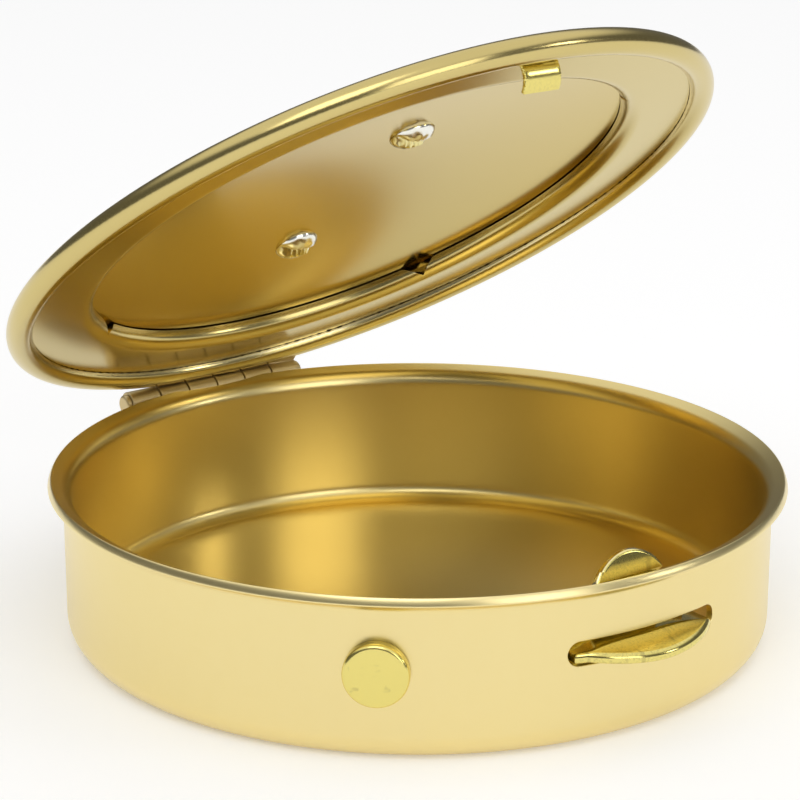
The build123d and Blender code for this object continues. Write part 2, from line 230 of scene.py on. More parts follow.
class Finishes(bpy.types.PropertyGroup):
    """Colours of the metal finishes."""

    satin_gold: colour("Satin gold", "Gilding of the pan", (0.86, 0.70, 0.30))
    # The lid's and the plate's golds are the pan's gold darkened, a painted shade for the lid's shaded
    # inside, not a deeper gilding.
    lid_gold: colour("Lid gold", "Gilding of the lid ring, deeper than the pan's", (0.65, 0.525, 0.21))
    plate_gold: colour("Plate gold", "Gilding of the medallion plate", (0.63, 0.485, 0.155))
    bright_brass: colour("Bright brass", "Latch, its rivet and the catch", (0.82, 0.70, 0.22))
    hinge_brass: colour("Hinge brass", "Knuckles, leaf and pin", (0.62, 0.48, 0.18))
    emblem_gold: colour("Emblem gold", "Polished gilding of the cross", (0.90, 0.70, 0.32))
    tarnish: colour("Tarnish", "Darker spots and scratches on the brass", (0.36, 0.30, 0.12))
    # Bare edge also pales the whole outside of the pan through the edge mark, a painted sheen.
    bare_edge_and_sheen: colour("Bare edge", "Rubbed edges", (0.92, 0.80, 0.46))
    bare_cut: colour("Bare cut", "Freshly cut white metal of the rivet tails", (0.88, 0.87, 0.80))
    pan_rough: factor("Pan roughness", "Roughness of the pan", 0.29)
    lid_rough: factor("Lid roughness", "Roughness of the lid ring", 0.2)
    plate_rough: factor("Plate roughness", "Roughness of the medallion plate", 0.15)
    polish: factor("Polish roughness", "Roughness of the bright brass", 0.13)


class StageSettings(bpy.types.PropertyGroup):
    """Camera, floor and studio light."""

    floor: colour("Floor", "Colour of the floor", (0.9, 0.9, 0.9))
    camera_place: vector("Camera", "Place of the camera", "TRANSLATION", (-0.107354, -0.138069, 0.0701346))
    camera_aim: vector("Aim", "Way the camera looks", "DIRECTION", (0.581306, 0.758697, -0.294044))
    camera_roll: angled("Roll", "Turn of the camera about its aim", 0.076)
    lens: FloatProperty(name="Lens", description="Focal length in mm on a 36 mm sensor", default=117.0)
    overhead: wattage("Overhead", "Power of the softbox above", 1.26)
    catch_side: wattage("Catch side", "Power of the low softbox", 0.5)
    latch_side: wattage("Latch side", "Power of the softbox in front", 1.5)
    horizon: factor("Horizon", "Brightness of the studio near the horizon", 0.14)
    dome: factor("Dome", "Brightness of the white tent overhead", 0.95)
    paper: factor("Paper", "Share of white that the floor shows on top of the light it gets", 0.24)


def arc(centre, radius, start, end, count):
    """Points on a circle about a centre, from one angle to another in degrees."""
    angle = np.radians(np.linspace(start, end, count))
    return np.column_stack([centre[0] + radius * np.cos(angle), centre[1] + radius * np.sin(angle)])


def line(start, end, count):
    """Evenly spaced points from start to end."""
    return np.linspace(start, end, count)


def joined(*runs):
    """Runs of points end to end, each repeated point kept once."""
    points = np.concatenate(runs)
    steps = np.linalg.norm(np.diff(points, axis=0), axis=1)
    return points[np.append(True, steps > MERGE)]


def ripple(angles, low, high, seed):
    """Sum of cosines of the angle, from a low to a high count of waves, each with its own phase, divided so
    that it is about -1 to 1."""
    waves = np.arange(low, high)[:, None]
    phase = np.random.default_rng(seed).uniform(0, 2 * math.pi, waves.shape)
    return np.cos(waves * angles[None, :] + phase).sum(0) / math.sqrt(2 * len(waves))


def revolved(section, angles):
    """A half-section of distances from the Z axis and heights, carried round the axis to each angle."""
    far, high = np.broadcast_arrays(*np.moveaxis(section.reshape(section.shape[0], -1, 2), -1, 0))
    return np.stack(np.broadcast_arrays(far * np.cos(angles), far * np.sin(angles), high), -1)


def round_angles(count, start=0.0):
    """Evenly spaced angles of one full turn."""
    return start + np.arange(count) * 2 * math.pi / count


def all_round(run, angles):
    """A run of a section that is the same at every angle."""
    return np.repeat(run[:, None], len(angles), 1)


def turned_about(points, centre, axis, angle):
    """Points turned about an axis through a centre."""
    spin = np.array(Matrix.Rotation(angle, 3, Vector(axis)))
    return (points - centre) @ spin.T + centre


def opened(points):
    """Points of the closed lid turned about the hinge axis to the angle at which the lid rests."""
    return turned_about(points, HINGE, JOINTS["lid_hinge"]["axis"], OPEN)


def aligned(points):
    """Points of the latch turned round the pan's axis to where the latch sits."""
    return turned_about(points, np.zeros(3), UP, bpy.context.scene.pyx_latch.shift)


def grid_faces(rows, columns, wrap_rows=False, wrap_columns=False):
    """Quads between neighbouring points of a grid, as rows by columns by four corners."""
    r, c = np.meshgrid(
        np.arange(rows if wrap_rows else rows - 1),
        np.arange(columns if wrap_columns else columns - 1),
        indexing="ij",
    )
    r_next, c_next = (r + 1) % rows, (c + 1) % columns
    here, there = r * columns, r_next * columns
    return np.stack([here + c, here + c_next, there + c_next, there + c], -1)


class Shell:
    """Patches of points and faces that become one mesh, with an edge mark for each point: rubbed edges, and a
    painted sheen on the pan's outside.
    """

    def __init__(self):
        self.points, self.marks, self.faces, self.count = [], [], [], 0

    def add(self, points, faces, edge=0.0):
        """Adds a patch; faces count from its own first point."""
        flat = points.reshape(-1, 3)
        self.points.append(flat)
        self.marks.append(np.broadcast_to(edge, points.shape[:-1]).reshape(-1))
        if isinstance(faces, np.ndarray):
            faces = faces.reshape(-1, faces.shape[-1]).tolist()
        self.faces += [[corner + self.count for corner in face] for face in faces]
        self.count += len(flat)

    def piece(self, name, material, slot, sharp=40.0, bevel=0.0):
        """Makes the object: repeated points merged, faces outward, smooth apart from sharp edges."""
        mesh = bpy.data.meshes.new(name)
        mesh.from_pydata(np.concatenate(self.points), [], self.faces)
        mark = mesh.attributes.new("edge", "FLOAT", "POINT")
        mark.data.foreach_set("value", np.concatenate(self.marks).astype(np.float32))
        work = bmesh.new()
        work.from_mesh(mesh)
        bmesh.ops.remove_doubles(work, verts=work.verts, dist=MERGE)
        bmesh.ops.recalc_face_normals(work, faces=work.faces)
        work.to_mesh(mesh)
        work.free()
        mesh.shade_smooth()
        mesh.set_sharp_from_angle(angle=math.radians(sharp))
        mesh.materials.append(material)
        obj = bpy.data.objects.new(name, mesh)
        bpy.context.scene.collection.objects.link(obj)
        if bevel:
            soft = obj.modifiers.new("soft_edges", "BEVEL")
            soft.width, soft.segments, soft.limit_method = bevel, 3, "ANGLE"
            soft.angle_limit = math.radians(sharp)
        return obj


def sheet_faces(mask):
    """Front, back and side quads of a sheet given as two equal grids of points, front first, where mask says
    which cells are metal. Sides stand on the edges that have metal on one side only."""
    rows, columns = mask.shape[0] + 1, mask.shape[1] + 1
    cells = grid_faces(rows, columns)[mask]
    back = rows * columns
    wide = np.pad(mask, 1)
    index = np.arange(back).reshape(rows, columns)
    along = wide[1:, 1:-1] != wide[:-1, 1:-1]
    across = wide[1:-1, 1:] != wide[1:-1, :-1]
    rim = np.concatenate([
        np.stack([index[:, :-1], index[:, 1:]], -1)[along],
        np.stack([index[:-1], index[1:]], -1)[across],
    ])
    sides = np.column_stack([rim[:, 0], rim[:, 1], rim[:, 1] + back, rim[:, 0] + back])
    return np.concatenate([cells, cells[:, ::-1] + back, sides])


def whole_sheet(rows, columns):
    """Quads of a sheet without gaps, given as two grids of rows by columns of points."""
    return sheet_faces(np.ones((rows - 1, columns - 1), bool))


def rounded_bar(width, thick, radius, side=7):
    """Outline of a bar's section, a rectangle with round corners, as a closed loop of points."""
    x, y, corner = width / 2 - radius, thick / 2 - radius, 4
    return joined(
        arc((x, y), radius, 0, 90, corner), line((x, y + radius), (-x, y + radius), side),
        arc((-x, y), radius, 90, 180, corner), line((-x - radius, y), (-x - radius, -y), 3),
        arc((-x, -y), radius, 180, 270, corner), line((-x, -y - radius), (x, -y - radius), side),
        arc((x, -y), radius, 270, 360, corner), line((x + radius, -y), (x + radius, y), 3),
    )[:-1]


def headings(path):
    """Unit directions along a path of points."""
    ahead = np.gradient(path, axis=0)
    return ahead / np.linalg.norm(ahead, axis=1)[:, None]


def carried(section, place, across, out):
    """A section's loop carried along a path: each point is the path's point plus the section's first measure
    along one direction and its second along another, which may turn with the path."""
    out = np.broadcast_to(out, place.shape)
    return place[:, None] + section[:, :1] * np.array(across) + section[:, 1:] * out[:, None]


def capped_tube(shell, rings):
    """Adds a tube through rings of points, closed by a flat face at each end."""
    rows, columns = rings.shape[:2]
    shell.add(rings, grid_faces(rows, columns, wrap_columns=True))
    for ring in (rings[0], rings[-1]):
        shell.add(ring, [list(range(columns))])


def feed(tree, socket, value):
    """Links an input to another socket, or sets its value."""
    if isinstance(value, bpy.types.NodeSocket):
        tree.links.new(value, socket)
    else:
        socket.default_value = value


def node(tree, kind, settings=None, **inputs):
    """Adds a shader node; inputs are values or sockets by name, with underscores for spaces."""
    made = tree.nodes.new(kind)
    for key, value in (settings or {}).items():
        setattr(made, key, value)
    for key, value in inputs.items():
        feed(tree, made.inputs[key.replace("_", " ")], value)
    return made


def maths(tree, operation, first, second):
    """Result of an operation on two values."""
    made = node(tree, "ShaderNodeMath", {"operation": operation})
    feed(tree, made.inputs[0], first)
    feed(tree, made.inputs[1], second)
    return made.outputs[0]


def mixed(tree, amount, first, second):
    """Colour between two colours by an amount."""
    made = node(tree, "ShaderNodeMix", {"data_type": "RGBA"})
    feed(tree, made.inputs[0], amount)
    for socket, value in ((made.inputs[6], first), (made.inputs[7], second)):
        feed(tree, socket, value if isinstance(value, bpy.types.NodeSocket) else (*value, 1.0))
    return made.outputs[2]


def ranged(tree, value, low, high, bottom=0.0, top=1.0):
    """A value scaled from one range to another and held inside it."""
    return node(
        tree, "ShaderNodeMapRange", {"clamp": True},
        Value=value, From_Min=low, From_Max=high, To_Min=bottom, To_Max=top,
    ).outputs[0]


def noise(tree, where, scale, detail):
    """Smooth noise at a place."""
    return node(tree, "ShaderNodeTexNoise", Vector=where, Scale=scale, Detail=detail).outputs[0]


def satin_haze(tree, where, cloud_scale, grain_scale):
    """Slow unevenness of a satin finish and the fine grain of its surface."""
    return {"Cloud": noise(tree, where, cloud_scale, 1.0), "Grain": noise(tree, where, grain_scale, 2.0)}


def edge_rub(tree, where, scale):
    """Rubbed edges, and the painted sheen that pales the pan's outside: the mesh's edge mark, broken up by
    noise.
    """
    mark = node(tree, "ShaderNodeAttribute", {"attribute_name": "edge"}).outputs["Fac"]
    breaks = ranged(tree, noise(tree, where, scale, 3.0), 0.35, 0.6, 0.9, 1.0)
    return {"Mask": maths(tree, "MULTIPLY", mark, breaks)}


def handling_marks(tree, where, spot_scale, scratch_scale, mottle_scale):
    """Small tarnish spots, upright hair scratches and fine mottling."""
    stretch = node(tree, "ShaderNodeMapping", Vector=where, Scale=(1.0, 0.4, 0.07)).outputs[0]
    return {
        "Spots": ranged(tree, noise(tree, where, spot_scale, 2.0), 0.64, 0.74),
        "Scratches": ranged(tree, noise(tree, stretch, scratch_scale, 2.0), 0.64, 0.72),
        "Mottle": ranged(tree, noise(tree, where, mottle_scale, 2.0), 0.48, 0.66),
    }


EFFECTS = {
    "satin_haze": (satin_haze, {"Cloud Scale": 90.0, "Grain Scale": 9000.0}),
    "edge_rub": (edge_rub, {"Scale": 900.0}),
    "handling_marks": (
        handling_marks, {"Spot Scale": 1400.0, "Scratch Scale": 1500.0, "Mottle Scale": 6500.0}
    ),
}


def shared_effect(name):
    """Node group of an effect, made on first use: a place and the effect's scales go in, masks come out."""
    known = bpy.data.node_groups.get(name)
    if known:
        return known
    build, scales = EFFECTS[name]
    tree = bpy.data.node_groups.new(name, "ShaderNodeTree")
    tree.interface.new_socket("Vector", in_out="INPUT", socket_type="NodeSocketVector")
    for label, scale in scales.items():
        made = tree.interface.new_socket(label, in_out="INPUT", socket_type="NodeSocketFloat")
        made.default_value = scale
    given = tree.nodes.new("NodeGroupInput").outputs
    masks = build(tree, *[given[label] for label in ("Vector", *scales)])
    for label in masks:
        tree.interface.new_socket(label, in_out="OUTPUT", socket_type="NodeSocketFloat")
    result = tree.nodes.new("NodeGroupOutput")
    for label, mask in masks.items():
        tree.links.new(mask, result.inputs[label])
    return tree


def effect(tree, name, where):
    """Masks of a shared effect at a place, by name."""
    return node(tree, "ShaderNodeGroup", {"node_tree": shared_effect(name)}, Vector=where).outputs


def metal(name, tint, rough, relief=0.01, spots=0.0, scratches=0.0, mottle=0.0, bare=None):
    """Gilt or brass finish: colour and roughness drift with the haze, tarnish spots, scratches and mottling
    darken it by their amounts, edges are rubbed to the bare metal, the same mark paints a paler sheen over
    the pan's outside, and the grain is a fine bump."""
    known = bpy.data.materials.get(name)
    if known:
        return known
    finishes = bpy.context.scene.pyx_finish
    material = bpy.data.materials.new(name)
    material.use_nodes = True
    tree = material.node_tree
    surface = tree.nodes["Principled BSDF"].inputs
    surface["Metallic"].default_value = 1.0
    where = node(tree, "ShaderNodeTexCoord").outputs["Object"]
    haze = effect(tree, "satin_haze", where)
    rub_and_sheen = effect(tree, "edge_rub", where)
    tone_drift, rough_drift = 0.03, 0.06
    tone = mixed(tree, haze["Cloud"], tuple((1 - tone_drift) * c for c in tint), tint)
    amounts = {"Spots": spots, "Scratches": scratches, "Mottle": mottle}
    if any(amounts.values()):
        worn = effect(tree, "handling_marks", where)
        for mark, amount in amounts.items():
            if amount:
                tone = mixed(tree, maths(tree, "MULTIPLY", worn[mark], amount), tone, finishes.tarnish)
    # The edge mask mixes in the bare edge colour: rubbed edges, and a painted sheen over the pan's outside.
    feed(tree, surface["Base Color"], mixed(tree, rub_and_sheen["Mask"], tone, bare or finishes.bare_edge_and_sheen))
    smooth, dull = (1 - rough_drift) * rough, (1 + rough_drift) * rough
    feed(tree, surface["Roughness"], ranged(tree, haze["Cloud"], 0.2, 0.8, smooth, dull))
    bump = node(tree, "ShaderNodeBump", Strength=relief, Distance=0.02 * MM, Height=haze["Grain"])
    feed(tree, surface["Normal"], bump.outputs[0])
    return material


def finish(name):
    """One of the finishes, by name."""
    f = bpy.context.scene.pyx_finish
    gold, brass = f.satin_gold, f.bright_brass
    made = {
        "pan_gold": (gold, f.pan_rough, {}),
        # Lid and plate gold are darkened, a painted shade on the lid's inside.
        "lid_gold": (f.lid_gold, f.lid_rough, {}),
        "plate_gold": (f.plate_gold, f.plate_rough, {}),
        "latch_brass": (brass, f.polish, {"relief": 0.02, "spots": 0.35, "scratches": 0.5, "mottle": 0.3}),
        "rivet_brass": (brass, 1.5 * f.polish, {"relief": 0.02, "spots": 0.4}),
        "catch_brass": (brass, 1.4 * f.polish, {"relief": 0.03, "spots": 0.2, "mottle": 0.15}),
        "tail_brass": (
            brass, 1.6 * f.polish, {"relief": 0.03, "spots": 0.3, "mottle": 0.4, "bare": f.bare_cut}
        ),
        "hinge_brass": (f.hinge_brass, 0.27, {"relief": 0.03, "spots": 0.3}),
        "emblem_gold": (f.emblem_gold, f.polish, {"relief": 0.02, "spots": 0.1}),
    }
    tint, rough, wear = made[name]
    return metal(name, tint, rough, **wear)


class MakePan(bpy.types.Operator):
    """Drawn pan: floor, wall with the tab's slot, and flared lip."""

    bl_idname = "pyx.make_pan"
    bl_label = "Pan"

    columns = 480
    front = 60
    slot_columns = 24
    wall_rows = 29
    slot_row = 12
    lip_bulge = 0.09  # millimetres
    nick_depth = 0.05
    nick_floor = 1.1  # ripple above which the lip is nicked

    def execute(self, context):
        p = context.scene.pyx_pan
        slot_angle = -math.pi / 2 + context.scene.pyx_latch.shift
        angles = round_angles(self.columns, slot_angle - self.front * 2 * math.pi / self.columns)
        section, edge, outer_row, inner_row = self.section(p, angles)
        grid = revolved(section, angles)
        faces = grid_faces(*grid.shape[:2], wrap_columns=True)
        keep = np.ones(faces.shape[:2], bool)
        left, right = self.front - self.slot_columns, self.front + self.slot_columns
        height = self.wall_rows - 1 - self.slot_row
        keep[outer_row:outer_row + height, left:right] = False
        keep[inner_row:inner_row + height, left:right] = False
        shell = Shell()
        shell.add(grid, faces[keep], edge)
        rings, mark = self.slot(p, grid, (outer_row, inner_row), height, (left, right))
        shell.add(rings, grid_faces(*rings.shape[:2], wrap_columns=True), mark)
        pan = shell.piece("pan", finish("pan_gold"), "satin_gold", sharp=45)
        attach(pan, "base")
        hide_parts("base_pan")
        return {"FINISHED"}

    def section(self, p, angles):
        """Half-section from the middle of the underside, up the wall's outside, round the lip and down the
        inside to the middle of the floor. The lip ends behind the hinge where the hinge's relief, a cylinder
        on the hinge axis, begins."""
        wall, sheet, corner = p.wall_radius, p.sheet, p.corner_radius
        start = p.height - self.lip(p, p.lip_bend + sheet, np.ones(1))[0, 1]
        middle = (wall - corner, corner)
        outer = joined(
            line((0, 0), (wall - corner, 0), 24),
            arc(middle, corner, -90, 0, 12),
            line((wall, corner), (wall, start), self.wall_rows),
        )
        inner = joined(
            line((wall - sheet, start), (wall - sheet, corner), self.wall_rows),
            arc(middle, corner - sheet, 0, -90, 14),
            line((wall - corner, sheet), (0, sheet), 40),
        )
        share = np.linspace(0, 1, 400)[:, None]
        steps = np.linspace(0, 1, 24)[1:, None]
        bends, ends = [], []
        for radius in (p.lip_bend, p.lip_bend + sheet):
            far, high = np.moveaxis(self.lip(p, radius, share), -1, 0)
            gap = np.hypot((far + wall) * np.sin(angles) - HINGE[1], high + start - HINGE[2])
            free = np.cumprod(gap > RELIEF, axis=0)
            end = np.take(share[:, 0], free.sum(0) - 1)
            bends.append(self.lip(p, radius, steps * end) + (wall, start))
            ends.append(end)
        out_end, in_end = bends[0][-1], bends[1][-1]
        sweep = np.linspace(0, math.pi, 13)[1:-1, None, None]
        nicks = np.clip(ripple(angles, 90, 230, 5) - self.nick_floor, 0, 1)
        bulge = np.where(ends[0] < 1, 0.0, self.lip_bulge - self.nick_depth * nicks)[:, None] * MM
        lean = np.array([math.sin(p.lip_angle), math.cos(p.lip_angle)])
        lip = out_end + (in_end - out_end) * (1 - np.cos(sweep)) / 2 + lean * bulge * np.sqrt(np.sin(sweep))
        # Edge marks: the 0.3 on the outside and its bend is a painted sheen that makes the outside paler than
        # the inside; the lip's 0.4 is that sheen with its rubbed edge, and the inner bend's 0.1 is a rubbed
        # edge.
        marked = (
            (all_round(outer, angles), 0.3), (bends[0], 0.3), (lip, 0.4), (bends[1][::-1], 0.1),
            (all_round(inner, angles), 0.0),
        )
        edge = np.concatenate([np.full(part.shape[:2], mark) for part, mark in marked])
        section = np.concatenate([part for part, mark in marked])
        first_inner = len(section) - len(inner)
        return section, edge, len(outer) - self.wall_rows + self.slot_row, first_inner

    def lip(self, p, radius, share):
        """Place on one face of the lip at a share of its length, from where that face leaves the wall's
        outside: half of the share goes round a bend of the face's radius, half along a flat that reaches the
        lip's edge."""
        turn = p.lip_angle
        flat = (p.lip_reach - p.lip_bend * (1 - math.cos(turn))) / math.sin(turn)
        swing = turn * np.minimum(2 * share, 1)
        extra = flat * np.maximum(2 * share - 1, 0)
        far = p.lip_bend - radius * np.cos(swing) + extra * math.sin(turn)
        return np.stack([far, radius * np.sin(swing) + extra * math.cos(turn)], -1)

    def slot(self, p, grid, rows, height, columns):
        """Rings from a window in the wall's outside to the slot's outline, round its edge, through the sheet
        and back out to a window in the inside. The outline is a rectangle with half-round ends; each window
        point goes to the outline's nearest point, and the slot is cut straight through."""
        half = p.slot_height / 2
        straight = p.slot_length / 2 - half
        shift = bpy.context.scene.pyx_latch.shift
        # The 0.3 round the outside of the slot carries on the painted sheen of the pan's outside; the 0.5 is
        # the slot's rubbed cut edge.
        level_rows, edge_rows, wall_sheen_mark, edge_mark = 7, 4, 0.3, 0.5
        rings, marks = [], []
        for row, radius, inward in ((rows[0], p.wall_radius, 1), (rows[1], p.wall_radius - p.sheet, -1)):
            block = grid[row:row + height + 1, columns[0]:columns[1] + 1][::inward]
            window = np.concatenate([block[0, :-1], block[:-1, -1], block[-1, :0:-1], block[:0:-1, 0]])
            window = turned_about(window, np.zeros(3), UP, -shift)
            flat = window[:, [0, 2]] - (0, p.slot_z)
            core = np.column_stack([np.clip(flat[:, 0], -straight, straight), np.zeros(len(flat))])
            away = flat - core
            away /= np.linalg.norm(away, axis=1)[:, None]
            outline = core + away * half
            spread = np.linspace(0, 1, level_rows)[:, None, None] ** 0.8
            level = flat + (outline + away * p.slot_round - flat) * spread
            bend = np.linspace(0, math.pi / 2, edge_rows + 1)[1:, None]
            edge = outline + away * p.slot_round * (1 - np.sin(bend))[..., None]
            sink = np.concatenate([np.zeros((level_rows, 1)), p.slot_round * (1 - np.cos(bend))])
            both = np.concatenate([level, edge])
            deep = -np.sqrt(radius ** 2 - both[..., 0] ** 2) + inward * sink
            made = aligned(np.stack([both[..., 0], deep, both[..., 1] + p.slot_z], -1))
            mark = np.full(made.shape[:2], edge_mark)
            mark[:level_rows] = wall_sheen_mark * (inward > 0)
            rings.append(made[::inward])
            marks.append(mark[::inward])
        return np.concatenate(rings), np.concatenate(marks)


class MakeLidRing(bpy.types.Operator):
    """Lid ring: rolled rim, flat band and notched collar."""

    bl_idname = "pyx.make_lid_ring"
    bl_label = "Lid ring"

    notches = (45, 135, 225, 315)  # degrees round the lid
    seam = 182.6  # degrees round the roll, to its cut edge
    seam_waver = 2.6
    seam_grain = 0.6
    groove = 38  # degrees round the roll, between its end and the band's top
    groove_width = 0.18 * MM
    top_rows = [0, 1, 2, 3, 11, 12]  # of 14; the flat band needs none between
    under_rows = [1, 2, 11, 12, 13, 14]  # of 16

    def execute(self, context):
        lid = context.scene.pyx_lid
        angles = round_angles(720)
        section, edge = self.section(lid, angles)
        ring = revolved(section, angles)
        away = ring[..., 1:] - HINGE[1:]
        gap = np.linalg.norm(away, axis=-1, keepdims=True)
        near = (gap < RELIEF) & (np.abs(ring[..., :1]) < RELIEF_HALF)
        ring[..., 1:] = np.where(near, HINGE[1:] + away / gap * RELIEF, ring[..., 1:])
        shell = Shell()
        shell.add(opened(ring), grid_faces(*ring.shape[:2], wrap_rows=True, wrap_columns=True), edge)
        # The lid ring's gold is darkened, a painted shade.
        piece = shell.piece("lid_rim_and_band", finish("lid_gold"), "satin_gold", sharp=50)
        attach(piece, "lid")
        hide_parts("lid_ring")
        return {"FINISHED"}

    def section(self, lid, angles):
        """Closed half-section: down the collar's inside, along the band's underside, round the inside of the
        rolled rim to its cut edge, back round its outside, along the band's top and up the collar's outside.
        The collar is a bend then a straight rise; its height falls to a V at each of four notches."""
        rise, sheet, roll = lid.collar_rise, lid.sheet, lid.bead_radius
        under, over = lid.bend_radius, lid.bend_radius - sheet
        middle = (under + over) / 2
        ring = lid.radius - roll
        bend = ring - lid.band_width
        full = middle * math.pi / 2 + rise - under
        off = np.abs((angles[:, None] - np.radians(self.notches) + math.pi) % (2 * math.pi) - math.pi)
        off = off.min(1) * (bend - under)
        low = rise - lid.notch_depth * np.clip(1 - off / (lid.notch_width / 2), 0, 1)
        tilt = np.arccos(np.clip(1 - low / under, 0, 1))
        top = np.where(low < under, middle * tilt, full - (rise - low))
        along = np.linspace(0, 1, 16)[:, None] * top
        swing = np.minimum(along, middle * math.pi / 2) / middle
        extra = np.maximum(along - middle * math.pi / 2, 0)
        sides = [
            np.stack([bend - radius * np.sin(swing), under - radius * np.cos(swing) + extra], -1)
            for radius in (under, over)
        ]
        hollow = roll - sheet
        cut = self.seam + self.seam_waver * np.clip(ripple(angles, 120, 330, 11), -0.4, 1.6)
        cut = cut + self.seam_grain * ripple(angles, 20, 60, 12)
        inside = arc((ring, 0), hollow, 180, -150, 28)
        swing = np.radians(cut + np.linspace(0, 1, 60)[:, None] * (540 - self.groove - cut))
        outside = np.stack([ring + roll * np.cos(swing), roll * np.sin(swing)], -1)
        groove_in = ring - roll * math.cos(math.radians(self.groove)) - self.groove_width
        top_run = line((groove_in, sheet), (bend, sheet), 14)[self.top_rows]
        under_run = line((bend, 0), (ring - hollow, 0), 16)[self.under_rows]
        parts = [
            sides[0][::-1], all_round(under_run, angles), all_round(inside, angles), outside,
            all_round(top_run, angles), sides[1],
        ]
        section = np.concatenate(parts)
        section[..., 1] += lid.level
        edge = np.zeros(section.shape[:2])
        first = sum(len(part) for part in parts[:3])
        edge[first:first + 3] = 0.9
        edge[:1] = edge[-1:] = 0.8
        return section, edge


class MakeMedallion(bpy.types.Operator):
    """Domed medallion plate on the lid."""

    bl_idname = "pyx.make_medallion"
    bl_label = "Medallion plate"

    def execute(self, context):
        lid = context.scene.pyx_lid
        dome = dome_of(lid)
        angles = round_angles(360)
        shell = Shell()
        grid = revolved(self.section(lid, dome), angles)
        shell.add(opened(grid), grid_faces(*grid.shape[:2], wrap_columns=True))
        # The plate's gold is darkened, a painted shade.
        piece = shell.piece("medallion", finish("plate_gold"), "satin_gold", sharp=50)
        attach(piece, "lid")
        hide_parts("medallion_plate")
        return {"FINISHED"}

    def section(self, lid, dome):
        """Half-section from the middle of the underside along a sphere, down the skirt's inside, round its
        foot, up its outside, over a rounded shoulder and back along a larger sphere to the middle."""
        inside = dome["collar"] + lid.pocket
        outside = inside + lid.plate_sheet
        foot = lid.level + lid.sheet + SEAT
        crown = dome["radius"] + lid.plate_sheet
        far = np.linspace(0, 1, 60)
        span = far * inside
        under = np.column_stack([span, dome["z"] + np.sqrt(dome["radius"] ** 2 - span ** 2)])
        soft = lid.shoulder
        shoulder = (outside - soft, dome["z"] + math.sqrt((crown - soft) ** 2 - (outside - soft) ** 2))
        reach = far[::-1] * crown / (crown - soft) * (outside - soft)
        over = np.column_stack([reach, dome["z"] + np.sqrt(crown ** 2 - reach ** 2)])
        lean = math.degrees(math.acos((outside - soft) / (crown - soft)))
        return joined(
            under,
            line(under[-1], (inside, foot), 8),
            line((inside, foot), (outside, foot), 5),
            line((outside, foot), (outside, shoulder[1]), 6),
            arc(shoulder, soft, 0, lean, 10),
            over,
        )


def dome_of(lid):
    """Sphere of the medallion plate's underside: it stands on the collar's outer edge and rises by the dome's
    rise at the middle."""
    collar = lid.radius - lid.bead_radius - lid.band_width - lid.bend_radius + lid.sheet
    radius = (collar ** 2 + lid.dome_rise ** 2) / (2 * lid.dome_rise)
    z = lid.level + lid.collar_rise + SEAT + lid.dome_rise - radius
    return {"collar": collar, "radius": radius, "z": z}


class MakeEmblem(bpy.types.Operator):
    """Plain cross with sloping sides on the medallion plate."""

    bl_idname = "pyx.make_emblem"
    bl_label = "Emblem"

    counts = ((12, 10, 12), (26, 10, 14))  # cells across and along, before, in and after the beam
    soft = 0.14 * MM

    def execute(self, context):
        emblem, lid = context.scene.pyx_emblem, context.scene.pyx_lid
        shell = Shell()
        shell.add(*self.cross(emblem, lid, dome_of(lid)))
        piece = shell.piece("cross", finish("emblem_gold"), "emblem_gold", sharp=20, bevel=self.soft)
        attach(piece, "lid")
        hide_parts("emblem")
        return {"FINISHED"}

    def cross(self, emblem, lid, dome):
        """Two grids, the face and the foot of a cross, each laid on a sphere. Along each axis the lines of
        the face are those of the foot drawn in by the taper at the ends and at the arms' sides."""
        draw = emblem.sheet * math.tan(emblem.taper)
        beam = emblem.beam / 2
        across = [-emblem.width / 2, -beam, beam, emblem.width / 2]
        along = [-emblem.height / 2, emblem.raised - beam, emblem.raised + beam, emblem.height / 2]
        lines = []
        for stops, count in zip((across, along), self.counts):
            foot = joined(*[line(a, b, n + 1)[:, None] for a, b, n in zip(stops, stops[1:], count)])[:, 0]
            face = np.interp(foot, stops, np.array(stops) + draw * np.array([1, 1, -1, -1]))
            lines.append((face, foot))
        grids = []
        for level, lift in ((0, emblem.sheet), (1, 0.0)):
            x, y = np.meshgrid(lines[0][level], lines[1][level], indexing="ij")
            radius = dome["radius"] + lid.plate_sheet + SEAT + lift
            grids.append(np.stack([x, y, dome["z"] + np.sqrt(radius ** 2 - x ** 2 - y ** 2)], -1))
        upright, arms = [np.repeat([False, True, False], count) for count in self.counts]
        return opened(np.stack(grids)), sheet_faces(upright[:, None] | arms)


